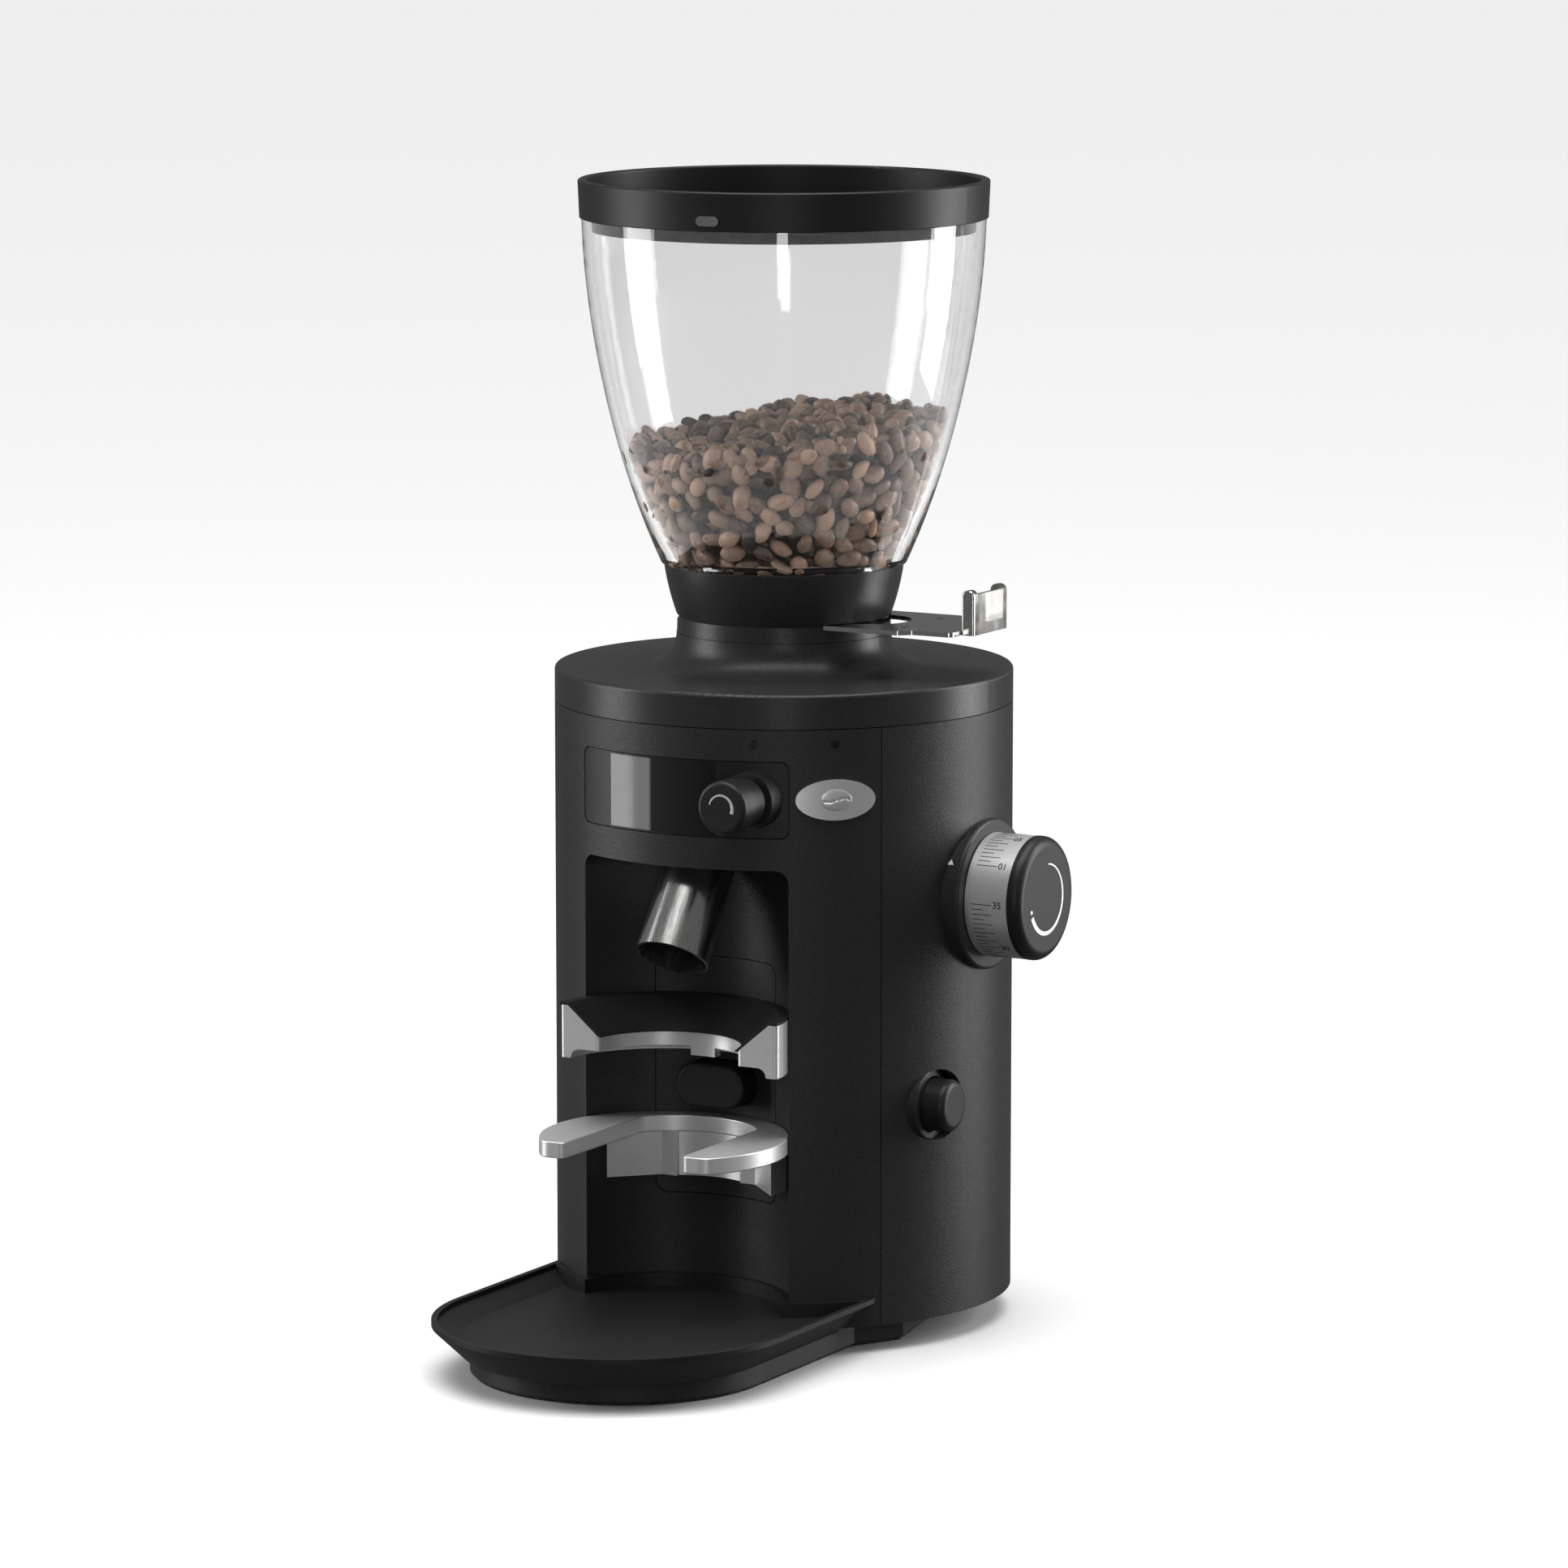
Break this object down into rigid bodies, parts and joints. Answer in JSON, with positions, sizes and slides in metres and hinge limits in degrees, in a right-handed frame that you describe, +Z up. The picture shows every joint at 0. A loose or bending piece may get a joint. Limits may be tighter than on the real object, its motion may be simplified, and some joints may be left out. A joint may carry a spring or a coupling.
{
  "type": "burr coffee grinder",
  "caption": "Upright espresso burr grinder with clear bean hopper, side grind dial, angled spout, portafilter fork and pull-out tray.",
  "frame": {"origin": "on the floor directly under the burr, motor and hopper axis, on the underside of the rubber sole", "axes": "+Z up; -Y is the front, where the spout, fork and tray are; +X is the side with the grind dial and power button"},
  "size_m": [0.189, 0.2685, 0.4107],
  "materials": {
    "black_powder_coat": "fine textured matte powder coat",
    "black_satin": "satin",
    "black_plastic": "fine grained matte",
    "rubber": "matte",
    "display": "gloss",
    "silver_satin": "satin",
    "polished_steel": "polished",
    "clear_plastic": "clear",
    "coffee": "roasted beans",
    "grey_plastic": "matte",
    "cast_aluminium": "cast",
    "hard_steel": "ground",
    "fasteners": "blackened",
    "motor_iron": "satin",
    "brass": "bright"
  },
  "bodies": {
    "housing": {"base_plate": "black_powder_coat", "rubber_sole": "rubber", "base_screws": "fasteners", "frame_posts": "cast_aluminium", "front_housing": "black_powder_coat", "rear_jacket": "black_powder_coat", "top_cover": "black_satin", "cover_screws": "fasteners", "control_panel": "black_plastic", "display_window": "display", "encoder_body": "black_plastic", "badge": "silver_satin", "recess_panel": "black_powder_coat", "start_switch": "black_plastic", "spout": "polished_steel", "grind_chamber": "cast_aluminium", "upper_carrier": "cast_aluminium", "upper_burr": "hard_steel", "upper_burr_screws": "fasteners", "dial_escutcheon": "black_satin", "motor_can": "motor_iron", "motor_mount": "cast_aluminium", "motor_stator": "motor_iron", "motor_bearings": "hard_steel", "control_board": "grey_plastic", "power_bezel": "black_satin", "power_switch": "black_plastic", "power_inlet": "black_plastic", "inlet_pins": "brass", "holder_ring": "silver_satin", "holder_liner": "black_plastic", "fork": "silver_satin", "fork_bracket": "silver_satin", "holder_screws": "fasteners"},
    "timer_plunger": {"encoder_plunger": "hard_steel"},
    "timer": {"timer_knob": "black_plastic", "encoder_shaft": "hard_steel"},
    "start": {"start_button": "black_plastic", "start_spring": "hard_steel"},
    "power": {"power_button": "black_plastic"},
    "dial": {"scale_drum": "silver_satin", "dial_cap": "black_plastic", "dial_spindle": "hard_steel"},
    "wedge": {"wedge_block": "hard_steel"},
    "sleeve": {"lift_sleeve": "hard_steel", "thrust_bearing": "hard_steel"},
    "lower_grinder": {"lower_burr_carrier": "hard_steel", "lower_burr": "hard_steel", "lower_burr_screws": "fasteners"},
    "rotor": {"motor_shaft": "hard_steel", "motor_rotor": "motor_iron"},
    "hopper": {"hopper_shell": "clear_plastic", "hopper_collar": "black_satin", "bean_fill": "coffee"},
    "lid": {"hopper_lid": "black_plastic", "lid_seal": "rubber", "lid_marker": "grey_plastic"},
    "shutter": {"shutter_blade": "polished_steel", "shutter_handle": "polished_steel"},
    "tray": {"tray": "black_plastic"}
  },
  "joints": [
    {"name": "hopper_lift", "type": "slide", "parent": "housing", "child": "hopper", "axis": [0, 0, 1], "range_m": [0, 0.045]},
    {"name": "lid_lift", "type": "slide", "parent": "hopper", "child": "lid", "axis": [0, 0, 1], "range_m": [0, 0.06]},
    {"name": "shutter_slide", "type": "slide", "parent": "hopper", "child": "shutter", "axis": [-1, 0, 0], "range_m": [0, 0.036]},
    {"name": "dial_turn", "type": "hinge", "parent": "housing", "child": "dial", "pos_m": [0, 0, 0.1592], "axis": [1, 0, 0], "range_deg": [-9.5, 313]},
    {"name": "wedge_slide", "type": "slide", "parent": "housing", "child": "wedge", "axis": [1, 0, 0], "range_m": [-0.00022, 0.00697]},
    {"name": "sleeve_drop", "type": "slide", "parent": "housing", "child": "sleeve", "axis": [0, 0, -1], "range_m": [-0.000022, 0.000697]},
    {"name": "motor_spin", "type": "hinge", "parent": "housing", "child": "rotor", "pos_m": [0, 0, 0.1], "axis": [0, 0, 1], "continuous": true},
    {"name": "burr_spin", "type": "hinge", "parent": "sleeve", "child": "lower_grinder", "pos_m": [0, 0, 0.197], "axis": [0, 0, 1], "continuous": true},
    {"name": "timer_push", "type": "slide", "parent": "housing", "child": "timer_plunger", "axis": [0, 1, 0], "range_m": [0, 0.0015], "stiffness_N_per_m": 1500, "springref_m": -0.001},
    {"name": "timer_turn", "type": "hinge", "parent": "timer_plunger", "child": "timer", "pos_m": [0.03, -0.09, 0.1995], "axis": [0, -1, 0], "continuous": true},
    {"name": "start_press", "type": "slide", "parent": "housing", "child": "start", "axis": [0, 1, 0], "range_m": [0, 0.0025], "stiffness_N_per_m": 1500, "springref_m": -0.001, "deforming": ["start_spring"]},
    {"name": "power_press", "type": "slide", "parent": "housing", "child": "power", "axis": [-1, 0, 0], "range_m": [0, 0.002], "stiffness_N_per_m": 1500, "springref_m": -0.001},
    {"name": "tray_slide", "type": "slide", "parent": "housing", "child": "tray", "axis": [0, -1, 0], "range_m": [0, 0.06]}
  ],
  "couplings": [
    {"joint": "wedge_slide", "follows": "dial_turn", "m_per_rad": 0.0012732},
    {"joint": "sleeve_drop", "follows": "dial_turn", "m_per_rad": 0.00012732},
    {"joint": "burr_spin", "follows": "motor_spin", "ratio": 1}
  ]
}
